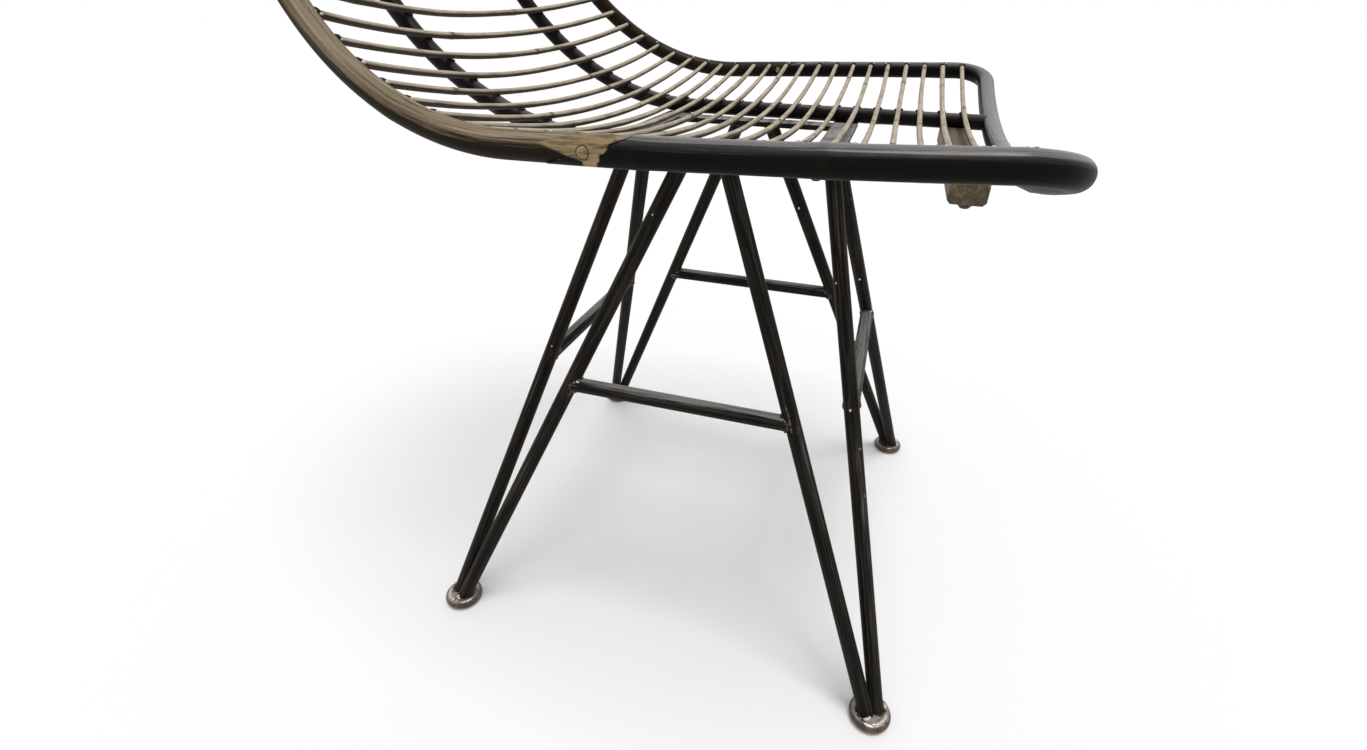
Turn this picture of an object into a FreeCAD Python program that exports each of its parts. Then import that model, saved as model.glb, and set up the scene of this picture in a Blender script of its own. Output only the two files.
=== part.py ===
import FreeCAD
import Part
import math
import os

from FreeCAD import Vector

# Rattan rod chair on a base of welded round steel bar.
# X runs across the chair with the sitter's left at +X, the front faces -Y and +Z is up.
# Lengths are in millimetres and angles in degrees.

# Feet
foot_spacing_x = 370.0
foot_spacing_y = 380.0
foot_diameter = 33.2
foot_height = 9.0
foot_base_diameter = 26.0
foot_top_diameter = 24.4

# Leg bars, which stand in pairs on the feet and part towards the head frame
bar_diameter = 12.0
pair_offset_x = 2.75
pair_offset_y = 3.9
pair_gap_at_head = 29.8
crossbar_height = 228.5

# Head frame, a square of flat bar that carries the seat
head_frame_size = 154.6
head_frame_offset = -10.8
plate_overhang = 5.0
flat_width = 20.0
flat_thickness = 4.0
plate_corner = 3.0

# Side view of the scoop, which bends about one axis from seat to back
scoop_axis_y = 50.0
scoop_axis_z = 608.0
scoop_radius = 180.0
back_lean = 75.0
rim_rise = 1.83
pole_dish = 21.0

# Outline of the rim, laid out flat
rim_diameter = 14.0
seat_half_width = 229.7
widest_run = -110.7
side_bow_radius = 928.0
front_run = -248.4
front_corner_radius = 30.0
back_taper = 15.6
top_radius = 135.0

# Splices where the front and the back rim poles meet
splice_run = -44.7
splice_angle = 17.0
splice_overlap = 32.0
dowel_diameter = 6.0
dowel_clearance = 0.05
dowel_inset = 0.3

# Poles under the seat and behind the back
pole_diameter = 12.0
pole_half_spacing = 95.0
pole_top_half_spacing = 60.0

# Rods across the seat and the back
rod_diameter = 4.0
rod_gap = 0.2
rod_seat_height = 4.4
rod_end_setback = 2.0
first_rod_setback = 22.3
seat_rod_count = 17
seat_rod_pitch = 17.2
back_rod_count = 21
last_rod_setback = 40.8

# Brace across the front of the poles
brace_position_y = -177.0
brace_width = 22.0
brace_depth = 14.0
brace_corner = 2.0
brace_saddle = 1.5

# Screws that hold the poles to the plates and to the brace
screw_shank_diameter = 4.5
screw_hole_clearance = 0.25
screw_head_diameter = 9.0
screw_head_height = 3.0
screw_face_diameter = 5.0
screw_point_diameter = 1.6
screw_bite = 8.5

# Sizes that follow from the ones above
bar_radius = bar_diameter / 2
rim_radius = rim_diameter / 2
pole_radius = pole_diameter / 2
rod_radius = rod_diameter / 2
rise = math.radians(rim_rise)
lean = math.radians(back_lean)
taper = math.radians(back_taper)
bend_run = scoop_radius * (lean + rise)
pole_level = scoop_axis_z - scoop_radius - pole_dish
plate_top = pole_level - pole_radius
plate_bottom = plate_top - flat_thickness
frame_half = head_frame_size / 2
plate_length = 2 * (pole_half_spacing + pole_radius + plate_overhang)
front_plate_y = head_frame_offset - frame_half
back_plate_y = head_frame_offset + frame_half

# Centres of the arcs that make up the rim's outline
side_centre_x = seat_half_width - side_bow_radius
corner_centre_run = front_run + front_corner_radius
corner_reach = side_bow_radius - front_corner_radius
corner_centre_x = side_centre_x + math.sqrt(corner_reach ** 2 - (corner_centre_run - widest_run) ** 2)
corner_turn = math.asin((corner_centre_run - widest_run) / corner_reach)
corner_end_run = corner_centre_run + front_corner_radius * math.sin(corner_turn)
corner_end_x = corner_centre_x + front_corner_radius * math.cos(corner_turn)
taper_start_run = widest_run + side_bow_radius * math.sin(taper)
taper_reach = side_centre_x * math.cos(taper) + widest_run * math.sin(taper) + side_bow_radius
top_centre_run = (taper_reach - top_radius) / math.sin(taper)
top_start_run = top_centre_run + top_radius * math.sin(taper)
top_start_x = top_radius * math.cos(taper)
top_run = top_centre_run + top_radius
rail_length = corner_centre_x + front_corner_radius * (math.pi / 2 + corner_turn)
pole_end_run = top_centre_run + math.sqrt(top_radius ** 2 - pole_top_half_spacing ** 2)
first_rod_run = front_run + first_rod_setback
last_seat_run = first_rod_run + (seat_rod_count - 1) * seat_rod_pitch
back_rod_pitch = (top_run - last_rod_setback - last_seat_run) / back_rod_count


def circle_half_width(centre_x, centre_run, radius, run):
    """Half width of the outline where it follows a circle."""
    return centre_x + math.sqrt(max(radius ** 2 - (run - centre_run) ** 2, 0.0))


def rim_half_width(run):
    """Half width of the rim's outline at a run along the scoop."""
    if run < corner_end_run:
        return circle_half_width(corner_centre_x, corner_centre_run, front_corner_radius, run)
    if run < taper_start_run:
        return circle_half_width(side_centre_x, widest_run, side_bow_radius, run)
    if run < top_start_run:
        return (taper_reach - run * math.sin(taper)) / math.cos(taper)
    return circle_half_width(0.0, top_centre_run, top_radius, run)


def side_view(run):
    """Point (y, z) of the rim's line seen from the side, and the slope there in radians.

    The run is measured along the rim from the start of the bend, negative to the front.
    """
    slope = min(max(run / scoop_radius - rise, -rise), lean)
    straight = min(run, 0.0) + max(run - bend_run, 0.0)
    y = scoop_axis_y + scoop_radius * math.sin(slope) + straight * math.cos(slope)
    z = scoop_axis_z - scoop_radius * math.cos(slope) + straight * math.sin(slope)
    return y, z, slope


def section(run):
    """Section of the scoop at a run: rim point (y, z), outward direction and depth of the poles."""
    y, z, slope = side_view(run)
    if slope <= 0:
        return (y, z), (0.0, -1.0), z - pole_level
    return (y, z), (math.sin(slope), -math.cos(slope)), pole_dish


def in_section(run, x, depth):
    """Point in space at x and at a depth below the rim's line, in the section at a run."""
    (y, z), (out_y, out_z), pole_depth = section(run)
    return Vector(x, y + depth * out_y, z + depth * out_z)


pole_rise = in_section(pole_end_run, 0.0, pole_dish).z - pole_level
pole_draw_in = (pole_half_spacing - pole_top_half_spacing) / pole_rise


def pole_point(run):
    """Point on the centre line of the left pole, which draws in as it climbs the back."""
    depth = section(run)[2]
    point = in_section(run, 0.0, depth)
    point.x = pole_half_spacing - pole_draw_in * (point.z - pole_level)
    return point


def rail_dip(x, edge_x, pole_x, pole_depth):
    """Depth of a rail that dips like a parabola and meets the poles on its way."""
    lowest = pole_depth / (1 - (pole_x / edge_x) ** 2)
    return lowest * (1 - (x / edge_x) ** 2)


def rim_dip(run, x):
    """Depth of the rim below its side line: zero along the sides, more in the front and top rails."""
    if run < corner_end_run:
        front_depth = section(front_run)[2]
        return rail_dip(x, corner_end_x, pole_half_spacing, front_depth)
    if run > top_start_run:
        return rail_dip(x, top_start_x, pole_top_half_spacing, pole_dish)
    return 0.0


def rim_point(run, x):
    """Point on the rim's centre line."""
    return in_section(run, x, rim_dip(run, abs(x)))


def rail_path(share):
    """Left half of the front rail and its corner, from the middle (0) to the side (1)."""
    along = share * rail_length
    if along < corner_centre_x:
        return rim_point(front_run, along)
    turn = (along - corner_centre_x) / front_corner_radius
    x = corner_centre_x + front_corner_radius * math.sin(turn)
    return rim_point(corner_centre_run - front_corner_radius * math.cos(turn), x)


def side_path(run):
    """Left side of the rim, from the front corner to the top arc."""
    return rim_point(run, rim_half_width(run))


def top_path(share):
    """Left half of the top arc, from the side (0) to the middle (1)."""
    turn = taper + share * (math.pi / 2 - taper)
    x = top_radius * math.cos(turn)
    return rim_point(top_centre_run + top_radius * math.sin(turn), x)


def stations(path, first, last, count):
    """Points of a path with their directions, evenly spaced, both ends included."""
    step = (last - first) / count
    small = step / 1000
    marks = []
    for number in range(count + 1):
        place = first + number * step
        ahead = path(place + small) - path(place)
        behind = path(place) - path(place - small)
        if number == 0:
            direction = ahead
        elif number == count:
            direction = behind
        else:
            direction = ahead + behind
        marks.append((path(place), direction.normalize()))
    return marks


def mirrored(marks):
    """The same stations on the right side of the chair, in the opposite order."""
    other_side = []
    for point, direction in reversed(marks):
        other_point = Vector(-point.x, point.y, point.z)
        other_side.append((other_point, Vector(direction.x, -direction.y, -direction.z)))
    return other_side


def joined(*runs):
    """One list of stations from several that follow each other."""
    marks = list(runs[0])
    for run in runs[1:]:
        marks[-1] = (marks[-1][0], (marks[-1][1] + run[0][1]).normalize())
        marks.extend(run[1:])
    return marks


def tangent_arc(start, start_direction, end):
    """Arc that leaves the start along a direction and reaches the end."""
    chord = end - start
    along = Vector(chord).normalize()
    swing = start_direction.getAngle(along)
    if swing < 1e-5:
        return Part.LineSegment(start, end).toShape()
    sideways = start_direction - along * start_direction.dot(along)
    middle = (start + end) * 0.5 + sideways.normalize() * (chord.Length / 2 * math.tan(swing / 2))
    return Part.Arc(start, middle, end).toShape()


def smooth_wire(marks):
    """Wire of arcs, two between neighbouring stations, that keeps every direction."""
    edges = []
    for (start, leaving), (end, arriving) in zip(marks, marks[1:]):
        span = end - start
        both = leaving + arriving
        spread = 2 * (1 - leaving.dot(arriving))
        if spread < 1e-9:
            reach = span.Length / 2
        else:
            reach = (math.sqrt(span.dot(both) ** 2 + spread * span.dot(span)) - span.dot(both)) / spread
        joint = (start + end + (leaving - arriving) * reach) * 0.5
        edges.append(tangent_arc(start, leaving, joint))
        edges.append(tangent_arc(end, arriving * -1, joint))
    return Part.Wire(edges)


def bent_pole(marks, diameter):
    """Round pole along a smooth line of stations."""
    start, direction = marks[0]
    ring = Part.Wire(Part.makeCircle(diameter / 2, start, direction))
    return smooth_wire(marks).makePipeShell([ring], True, False)


def round_bar(start, end, diameter, extra=0.0):
    """Straight round bar between two points, longer by the extra at both ends."""
    direction = (end - start).normalize()
    length = (end - start).Length + 2 * extra
    return Part.makeCylinder(diameter / 2, length, start - direction * extra, direction)


def half_space(point, normal, size):
    """Block that fills the side of a plane that its normal points to."""
    block = Part.makeBox(size, size, size, Vector(-size / 2, -size / 2, 0))
    block.Placement = FreeCAD.Placement(point, FreeCAD.Rotation(Vector(0, 0, 1), normal))
    return block


def slab(bottom, top):
    """Block between two heights, wider than the base."""
    corner = Vector(-foot_spacing_x, -foot_spacing_y, bottom)
    return Part.makeBox(2 * foot_spacing_x, 2 * foot_spacing_y, top - bottom, corner)


def bevelled_block(centre, size, bevel, direction):
    """Block with bevelled edges along one direction."""
    block = Part.makeBox(size.x, size.y, size.z, centre - size * 0.5)
    edges = []
    for edge in block.Edges:
        if abs(edge.tangentAt(0).dot(direction)) > 0.99:
            edges.append(edge)
    return block.makeChamfer(bevel, edges)


def make_foot(side, end):
    """Round steel foot, a disc with a bulging edge."""
    base = foot_base_diameter / 2
    top = foot_top_diameter / 2
    edge = Part.Arc(
        Vector(base, 0, 0),
        Vector(foot_diameter / 2, 0, foot_height * 0.48),
        Vector(top, 0, foot_height),
    )
    outline = Part.Wire([
        Part.LineSegment(Vector(0, 0, 0), Vector(base, 0, 0)).toShape(),
        edge.toShape(),
        Part.LineSegment(Vector(top, 0, foot_height), Vector(0, 0, foot_height)).toShape(),
        Part.LineSegment(Vector(0, 0, foot_height), Vector(0, 0, 0)).toShape(),
    ])
    foot = Part.Face(outline).revolve(Vector(0, 0, 0), Vector(0, 0, 1), 360)
    foot.translate(Vector(side * foot_spacing_x / 2, end * foot_spacing_y / 2, 0))
    return foot


def side_bar_line(side, end):
    """Foot and head of a leg bar whose head is under a side rail."""
    foot = Vector(
        side * (foot_spacing_x / 2 + pair_offset_x),
        end * (foot_spacing_y / 2 - pair_offset_y),
        foot_height,
    )
    head_y = head_frame_offset + end * pair_gap_at_head / 2
    return foot, Vector(side * frame_half, head_y, plate_bottom)


def end_bar_line(side, end):
    """Foot and head of a leg bar whose head is under the front or the back plate."""
    foot = Vector(
        side * (foot_spacing_x / 2 - pair_offset_x),
        end * (foot_spacing_y / 2 + pair_offset_y),
        foot_height,
    )
    head = Vector(side * pair_gap_at_head / 2, head_frame_offset + end * frame_half, plate_bottom)
    return foot, head


def make_leg_bar(line, partner):
    """Leg bar cut level at both ends and ground flat where it meets its partner."""
    foot, head = line
    partner_foot, partner_head = partner
    bar = round_bar(foot, head, bar_diameter, bar_diameter).common(slab(foot_height, plate_bottom))
    between = (head - foot).normalize() + (partner_head - partner_foot).normalize()
    between.normalize()
    apart = partner_foot - foot
    apart = apart - between * apart.dot(between)
    return bar.cut(half_space((foot + partner_foot) * 0.5, apart, 4 * bar_diameter))


def at_height(line, height):
    """Point where a bar's centre line passes a height."""
    foot, head = line
    return foot + (head - foot) * ((height - foot.z) / (head.z - foot.z))


def make_crossbar(first_line, second_line, first_bar, second_bar):
    """Crossbar between two leg bars, its ends coped to fit them."""
    first = at_height(first_line, crossbar_height)
    second = at_height(second_line, crossbar_height)
    return round_bar(first, second, bar_diameter).cut(first_bar).cut(second_bar)


def make_plate(y):
    """Flat bar across the head frame, with a screw hole under each pole."""
    middle = Vector(0, y, plate_top - flat_thickness / 2)
    size = Vector(plate_length, flat_width, flat_thickness)
    plate = bevelled_block(middle, size, plate_corner, Vector(0, 0, 1))
    hole_radius = screw_shank_diameter / 2 + screw_hole_clearance
    for side in (-1, 1):
        start = Vector(side * pole_half_spacing, y, plate_bottom - 1)
        plate = plate.cut(Part.makeCylinder(hole_radius, flat_thickness + 2, start))
    return plate


def make_side_rail(side):
    """Flat bar between the two plates of the head frame."""
    length = head_frame_size - flat_width
    corner = Vector(side * frame_half - flat_width / 2, head_frame_offset - length / 2, plate_bottom)
    return Part.makeBox(flat_width, length, flat_thickness, corner)


def make_screw(x, y, seat):
    """Pan head screw driven up into a pole, its head against a seat from below."""
    shank = screw_shank_diameter / 2
    point = screw_point_diameter / 2
    face = screw_face_diameter / 2
    head = screw_head_diameter / 2
    low = seat - screw_head_height
    tip = plate_top + screw_bite
    corners = [
        Vector(face, 0, low),
        Vector(0, 0, low),
        Vector(0, 0, tip),
        Vector(point, 0, tip),
        Vector(shank, 0, tip - screw_head_height),
        Vector(shank, 0, seat),
        Vector(head, 0, seat),
        Vector(head, 0, seat - screw_head_height / 3),
        Vector(face, 0, low),
    ]
    screw = Part.Face(Part.makePolygon(corners)).revolve(Vector(0, 0, 0), Vector(0, 0, 1), 360)
    screw.translate(Vector(x, y, 0))
    return screw


def splice_frame(side):
    """Centre of a splice, the rim's direction there and the normal of the slanted cut."""
    centre = side_path(splice_run)
    direction = (side_path(splice_run + 1) - side_path(splice_run - 1)).normalize()
    up = Vector(0, 0, 1)
    up = (up - direction * up.dot(direction)).normalize()
    angle = math.radians(splice_angle)
    normal = direction * math.sin(angle) + up * math.cos(angle)
    return Vector(side * centre.x, centre.y, centre.z), Vector(side * normal.x, normal.y, normal.z)


def make_dowel(side, clearance, extra):
    """Dowel across a splice, with its ends level with the rim's sides or longer by an extra."""
    centre, normal = splice_frame(side)
    reach = Vector(rim_radius - dowel_inset + extra, 0, 0)
    return round_bar(centre - reach, centre + reach, dowel_diameter + 2 * clearance)


def make_front_rim():
    """Rim pole round the front of the seat, from splice to splice."""
    corner_start = corner_centre_x / rail_length
    rail = stations(rail_path, 0, corner_start, 2)
    corner = stations(rail_path, corner_start, 1, 2)
    side = stations(side_path, corner_end_run, splice_run + splice_overlap, 2)
    left = joined(rail, corner, side)
    return bent_pole(joined(mirrored(left), left), rim_diameter)


def make_back_rim():
    """Rim pole up the sides and over the top of the back, from splice to splice."""
    seat = stations(side_path, splice_run - splice_overlap, 0, 1)
    bend = stations(side_path, 0, bend_run, 4)
    back = stations(side_path, bend_run, top_start_run, 1)
    top = stations(top_path, 0, 1, 3)
    left = joined(seat, bend, back, top)
    return bent_pole(joined(left, mirrored(left)), rim_diameter)


def finish_rim(pole, keep_back):
    """Rim pole with its ends cut to the splices and its dowel holes bored."""
    for side in (-1, 1):
        centre, normal = splice_frame(side)
        if keep_back:
            normal = normal * -1
        pole = pole.cut(half_space(centre, normal, 2.5 * splice_overlap))
        pole = pole.cut(make_dowel(side, dowel_clearance, rim_radius))
    return pole


def make_pole(front_rim, back_rim, screw_holes):
    """Right pole under the seat and behind the back, butted against the front and top rails."""
    seat = stations(pole_point, front_run, 0, 1)
    bend = stations(pole_point, 0, bend_run, 3)
    back = stations(pole_point, bend_run, pole_end_run, 1)
    pole = bent_pole(joined(seat, bend)[:-1] + back, pole_diameter)
    pole = pole.mirror(Vector(0, 0, 0), Vector(1, 0, 0))
    return pole.cut(front_rim).cut(back_rim).cut(screw_holes)


def rim_piece(run, side):
    """Short straight piece of the rim at a run, which is the shape that a rod's end is coped to."""
    centre = side_path(run)
    ahead = (side_path(run + 1) - side_path(run - 1)).normalize() * rim_diameter
    start = centre - ahead
    end = centre + ahead
    if side < 0:
        start.x = -start.x
        end.x = -end.x
    return round_bar(start, end, rim_diameter)


def rod_points(run):
    """Points of a rod's centre line on one arc, with one over the middle of each pole."""
    pole_depth = section(run)[2]
    end_x = rim_half_width(run) - rod_end_setback
    end_depth = rim_dip(run, rim_half_width(run)) - rod_seat_height
    rest_x = pole_point(run).x
    rest_depth = pole_depth - pole_radius - rod_radius - rod_gap
    sag = rest_depth - end_depth
    centre_depth = (rest_depth + end_depth) / 2 - (end_x ** 2 - rest_x ** 2) / (2 * sag)
    arc_radius = math.hypot(end_x, end_depth - centre_depth)
    between_x = (rest_x + end_x) / 2
    points = []
    for x in (-end_x, -between_x, -rest_x, 0.0, rest_x, between_x, end_x):
        points.append(in_section(run, x, centre_depth + math.sqrt(arc_radius ** 2 - x ** 2)))
    return points


def make_rod(run):
    """Rod from rim to rim, lying on both poles and coped to the rim."""
    points = rod_points(run)
    ring = Part.Wire(Part.makeCircle(rod_radius, points[0], points[1] - points[0]))
    rod = Part.makePolygon(points).makePipeShell([ring], True, False, 1)
    return rod.cut(rim_piece(run, 1)).cut(rim_piece(run, -1))


def make_brace(left_pole, right_pole):
    """Wooden brace under the front of the poles, with a shallow saddle for each."""
    length = 2 * (pole_half_spacing + pole_radius)
    top = plate_top + brace_saddle
    middle = Vector(0, brace_position_y, top - brace_depth / 2)
    size = Vector(length, brace_width, brace_depth)
    brace = bevelled_block(middle, size, brace_corner, Vector(1, 0, 0))
    return brace.cut(left_pole).cut(right_pole)


def largest(shape):
    """The largest solid in a shape."""
    return max(shape.Solids, key=lambda solid: solid.Volume)


nodes = {}
side_names = {-1: "right", 1: "left"}
end_names = {-1: "front", 1: "back"}

for end, end_name in end_names.items():
    for side, side_name in side_names.items():
        side_line = side_bar_line(side, end)
        end_line = end_bar_line(side, end)
        nodes["foot_%s_%s" % (end_name, side_name)] = make_foot(side, end)
        nodes["side_leg_%s_%s" % (end_name, side_name)] = make_leg_bar(side_line, end_line)
        nodes["%s_leg_%s" % (end_name, side_name)] = make_leg_bar(end_line, side_line)

for side, side_name in side_names.items():
    nodes["crossbar_" + side_name] = make_crossbar(
        side_bar_line(side, -1),
        side_bar_line(side, 1),
        nodes["side_leg_front_" + side_name],
        nodes["side_leg_back_" + side_name],
    )
    nodes["side_rail_" + side_name] = make_side_rail(side)

for end, end_name in end_names.items():
    nodes["crossbar_" + end_name] = make_crossbar(
        end_bar_line(-1, end),
        end_bar_line(1, end),
        nodes[end_name + "_leg_right"],
        nodes[end_name + "_leg_left"],
    )
    nodes["seat_plate_" + end_name] = make_plate(head_frame_offset + end * frame_half)

front_sweep = make_front_rim()
back_sweep = make_back_rim()
front_rim = largest(finish_rim(front_sweep, False))
back_rim = largest(finish_rim(back_sweep, True))
nodes["rim_front"] = front_rim
nodes["rim_back"] = back_rim

nodes["splice_dowels"] = Part.makeCompound([make_dowel(-1, 0.0, 0.0), make_dowel(1, 0.0, 0.0)])

brace_bottom = plate_top + brace_saddle - brace_depth
plate_screws = []
brace_screws = []
for side in (-1, 1):
    x = side * pole_half_spacing
    plate_screws.append(make_screw(x, front_plate_y, plate_bottom))
    plate_screws.append(make_screw(x, back_plate_y, plate_bottom))
    brace_screws.append(make_screw(x, brace_position_y, brace_bottom))
screws = Part.makeCompound(plate_screws + brace_screws)
nodes["plate_screws"] = Part.makeCompound(plate_screws)
nodes["brace_screws"] = Part.makeCompound(brace_screws)

right_pole = largest(make_pole(front_rim, back_rim, screws))
left_pole = right_pole.mirror(Vector(0, 0, 0), Vector(1, 0, 0))
nodes["pole_left"] = left_pole
nodes["pole_right"] = right_pole
nodes["front_brace"] = largest(make_brace(left_pole, right_pole).cut(Part.makeCompound(brace_screws)))

for number in range(seat_rod_count):
    run = first_rod_run + number * seat_rod_pitch
    nodes["seat_rod_%02d" % (number + 1)] = largest(make_rod(run))

back_rods = []
for number in range(back_rod_count):
    run = last_seat_run + (number + 1) * back_rod_pitch
    back_rods.append(largest(make_rod(run)))
for number in range(0, back_rod_count, 2):
    pair = back_rods[number:number + 2]
    nodes["back_rods_%02d" % (number // 2 + 1)] = Part.makeCompound(pair)

# The origin is on the floor, under the middle of the whole chair
whole = Part.makeCompound(list(nodes.values())).optimalBoundingBox(False, False)
shift = Vector(-whole.Center.x, -whole.Center.y, -whole.ZMin)
print("size %.1f x %.1f x %.1f" % (whole.XLength, whole.YLength, whole.ZLength))
print("shift %.3f %.3f %.3f" % (shift.x, shift.y, shift.z))

os.makedirs("parts", exist_ok=True)
for name, shape in nodes.items():
    shape.translate(shift)
    shape.exportStep("parts/%s.step" % name)
    print("%-26s solids %d faces %4d volume %10.1f valid %s"
          % (name, len(shape.Solids), len(shape.Faces), shape.Volume, shape.isValid()))
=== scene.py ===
import math
from functools import reduce

import bpy
from mathutils import Matrix, Vector, noise


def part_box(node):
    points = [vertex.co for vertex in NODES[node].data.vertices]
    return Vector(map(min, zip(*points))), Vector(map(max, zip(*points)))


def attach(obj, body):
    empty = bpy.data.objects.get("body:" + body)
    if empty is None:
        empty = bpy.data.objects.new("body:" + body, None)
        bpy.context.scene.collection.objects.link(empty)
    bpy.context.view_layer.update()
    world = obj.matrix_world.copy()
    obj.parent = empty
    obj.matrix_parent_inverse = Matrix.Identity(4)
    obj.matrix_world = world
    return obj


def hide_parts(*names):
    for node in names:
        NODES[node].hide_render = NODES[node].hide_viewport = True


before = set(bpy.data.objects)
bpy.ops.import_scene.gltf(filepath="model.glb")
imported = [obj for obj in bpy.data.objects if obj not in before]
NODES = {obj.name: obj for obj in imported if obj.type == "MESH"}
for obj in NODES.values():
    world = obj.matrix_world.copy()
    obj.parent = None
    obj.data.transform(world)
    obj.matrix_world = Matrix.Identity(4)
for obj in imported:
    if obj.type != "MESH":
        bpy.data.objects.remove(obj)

bl_info = {
    "name": "Rattan rod chair",
    "version": (1, 0, 0),
    "blender": (4, 5, 0),
    "location": "3D View > Sidebar > Chair",
    "description": "Finishes a dining chair of bent rattan on a welded steel base",
    "category": "Object",
}

# Lengths are in metres and angles in radians, unless a name says otherwise.
MM = 0.001


def middle(node):
    """Middle of a node's box."""
    low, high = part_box(node)
    return (low + high) / 2


# The base stands square to the frame, and its middle is the origin that the scoop is measured from.
BASE_Y = (middle("foot_front_right").y + middle("foot_back_right").y) / 2
FLOOR_TO_FOOT_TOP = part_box("foot_front_right")[1].z
BAR_RADIUS = (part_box("crossbar_front")[1].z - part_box("crossbar_front")[0].z) / 2
PLATE_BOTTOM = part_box("seat_plate_front")[0].z

# Side view of the scoop
SCOOP_AXIS = (BASE_Y + 50.0 * MM, 608.0 * MM)
SCOOP_RADIUS = 180.0 * MM
LEAN = math.radians(75.0)
RISE = math.radians(1.83)
POLE_DISH = 21.0 * MM
BEND_RUN = SCOOP_RADIUS * (LEAN + RISE)
POLE_LEVEL = SCOOP_AXIS[1] - SCOOP_RADIUS - POLE_DISH

# Outline of the rim, laid out flat
RIM_RADIUS = 7.0 * MM
HALF_WIDTH = 229.7 * MM
WIDEST_RUN = -110.7 * MM
SIDE_BOW = 928.0 * MM
FRONT_RUN = -248.4 * MM
CORNER_RADIUS = 30.0 * MM
TAPER = math.radians(15.6)
TOP_RADIUS = 135.0 * MM
SIDE_CENTRE_X = HALF_WIDTH - SIDE_BOW
CORNER_RUN = FRONT_RUN + CORNER_RADIUS
CORNER_REACH = SIDE_BOW - CORNER_RADIUS
CORNER_X = SIDE_CENTRE_X + math.sqrt(CORNER_REACH ** 2 - (CORNER_RUN - WIDEST_RUN) ** 2)
CORNER_TURN = math.asin((CORNER_RUN - WIDEST_RUN) / CORNER_REACH)
CORNER_END_RUN = CORNER_RUN + CORNER_RADIUS * math.sin(CORNER_TURN)
CORNER_END_X = CORNER_X + CORNER_RADIUS * math.cos(CORNER_TURN)
TAPER_START_RUN = WIDEST_RUN + SIDE_BOW * math.sin(TAPER)
TAPER_REACH = SIDE_CENTRE_X * math.cos(TAPER) + WIDEST_RUN * math.sin(TAPER) + SIDE_BOW
TOP_RUN = (TAPER_REACH - TOP_RADIUS) / math.sin(TAPER)
TOP_START_RUN = TOP_RUN + TOP_RADIUS * math.sin(TAPER)
TOP_START_X = TOP_RADIUS * math.cos(TAPER)

# Splices, poles and rods
SPLICE_RUN = -44.7 * MM
SPLICE_ANGLE = math.radians(17.0)
SPLICE_OVERLAP = 32.0 * MM
DOWEL_RADIUS = 3.0 * MM
POLE_RADIUS = 6.0 * MM
POLE_X = 95.0 * MM
POLE_TOP_X = 60.0 * MM
POLE_END_RUN = TOP_RUN + math.sqrt(TOP_RADIUS ** 2 - POLE_TOP_X ** 2)
ROD_RADIUS = 2.0 * MM
ROD_GAP = 0.2 * MM
ROD_SEAT = 4.4 * MM
ROD_SETBACK = 2.0 * MM
FIRST_ROD_RUN = -226.1 * MM
SEAT_RODS = 17
SEAT_PITCH = 17.2 * MM
BACK_RODS = 21
BACK_PITCH = 18.2 * MM

# Knots of a cane: the half lengths of the ring itself and of the swelling beside it
KNOT_LENGTH = 1.3 * MM
KNOT_SHOULDER = 9.0 * MM
# Where the thick canes have their knots, as lengths in metres from the start of the cane
FRONT_RIM_KNOTS = (0.055, 0.137, 0.32, 0.46, 0.7, 0.82)
BACK_RIM_KNOTS = (0.21, 0.42, 0.66, 0.9, 1.13)
LEFT_POLE_KNOTS = (0.09, 0.3, 0.47, 0.62)
RIGHT_POLE_KNOTS = (0.15, 0.34, 0.52, 0.7)
ROD_KNOTS = 4
# How far a rim or a pole strays from its line
POLE_WANDER = 0.1 * MM
# A slanted cut reaches this far from the middle of its splice.
CUT_REACH = 80.0 * MM
# A mesh point this near to a leg bar's end belongs to its end face.
END_SLACK = 0.3 * MM
# Where the glue at a rod's end sits on the rim, from the rim's centre line
RIM_GLUE_RISE = 5.2 * MM
RIM_GLUE_INSET = 4.6 * MM
# Bare weld metal on a foot: turns from the foot's outward direction, and the radius of the rim's crescent
SIDE_LEG_DROP_TURN = -0.19
END_LEG_DROP_TURN = 1.08
CRESCENT_TURNS = (-0.62, 0.68)
CRESCENT_RADIUS = 12.1 * MM
UP = Vector((0, 0, 1))

# Stage: the floor's half length and its glow for the camera, and the way that the key light shines
FLOOR_REACH = 12.0
FLOOR_GLOW = 0.07
LAMP_AIM = Vector((0.08, 0.16, -1.0))
# Camera: the photograph's size, focal length and centre in its pixels, its place from the base's middle,
# and its yaw, pitch and roll
PHOTO_SIZE = (1367.0, 750.0)
FOCAL_PX = 599.521
CENTRE_PX = (697.4677, 385.1524)
CAMERA_PLACE = Vector((-484.2166, -129.8295, 484.6189)) * MM
CAMERA_TURNS = (math.radians(16.65108), math.radians(-32.27912), math.radians(-0.95969))


def arc_half_width(centre_x, centre_run, radius, run):
    """Half width of the outline where it follows a circle."""
    return centre_x + math.sqrt(max(radius ** 2 - (run - centre_run) ** 2, 0.0))


def half_width(run):
    """Half width of the rim's outline at a run along the scoop."""
    if run < CORNER_END_RUN:
        return arc_half_width(CORNER_X, CORNER_RUN, CORNER_RADIUS, run)
    if run < TAPER_START_RUN:
        return arc_half_width(SIDE_CENTRE_X, WIDEST_RUN, SIDE_BOW, run)
    if run < TOP_START_RUN:
        return (TAPER_REACH - run * math.sin(TAPER)) / math.cos(TAPER)
    return arc_half_width(0.0, TOP_RUN, TOP_RADIUS, run)


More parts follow.
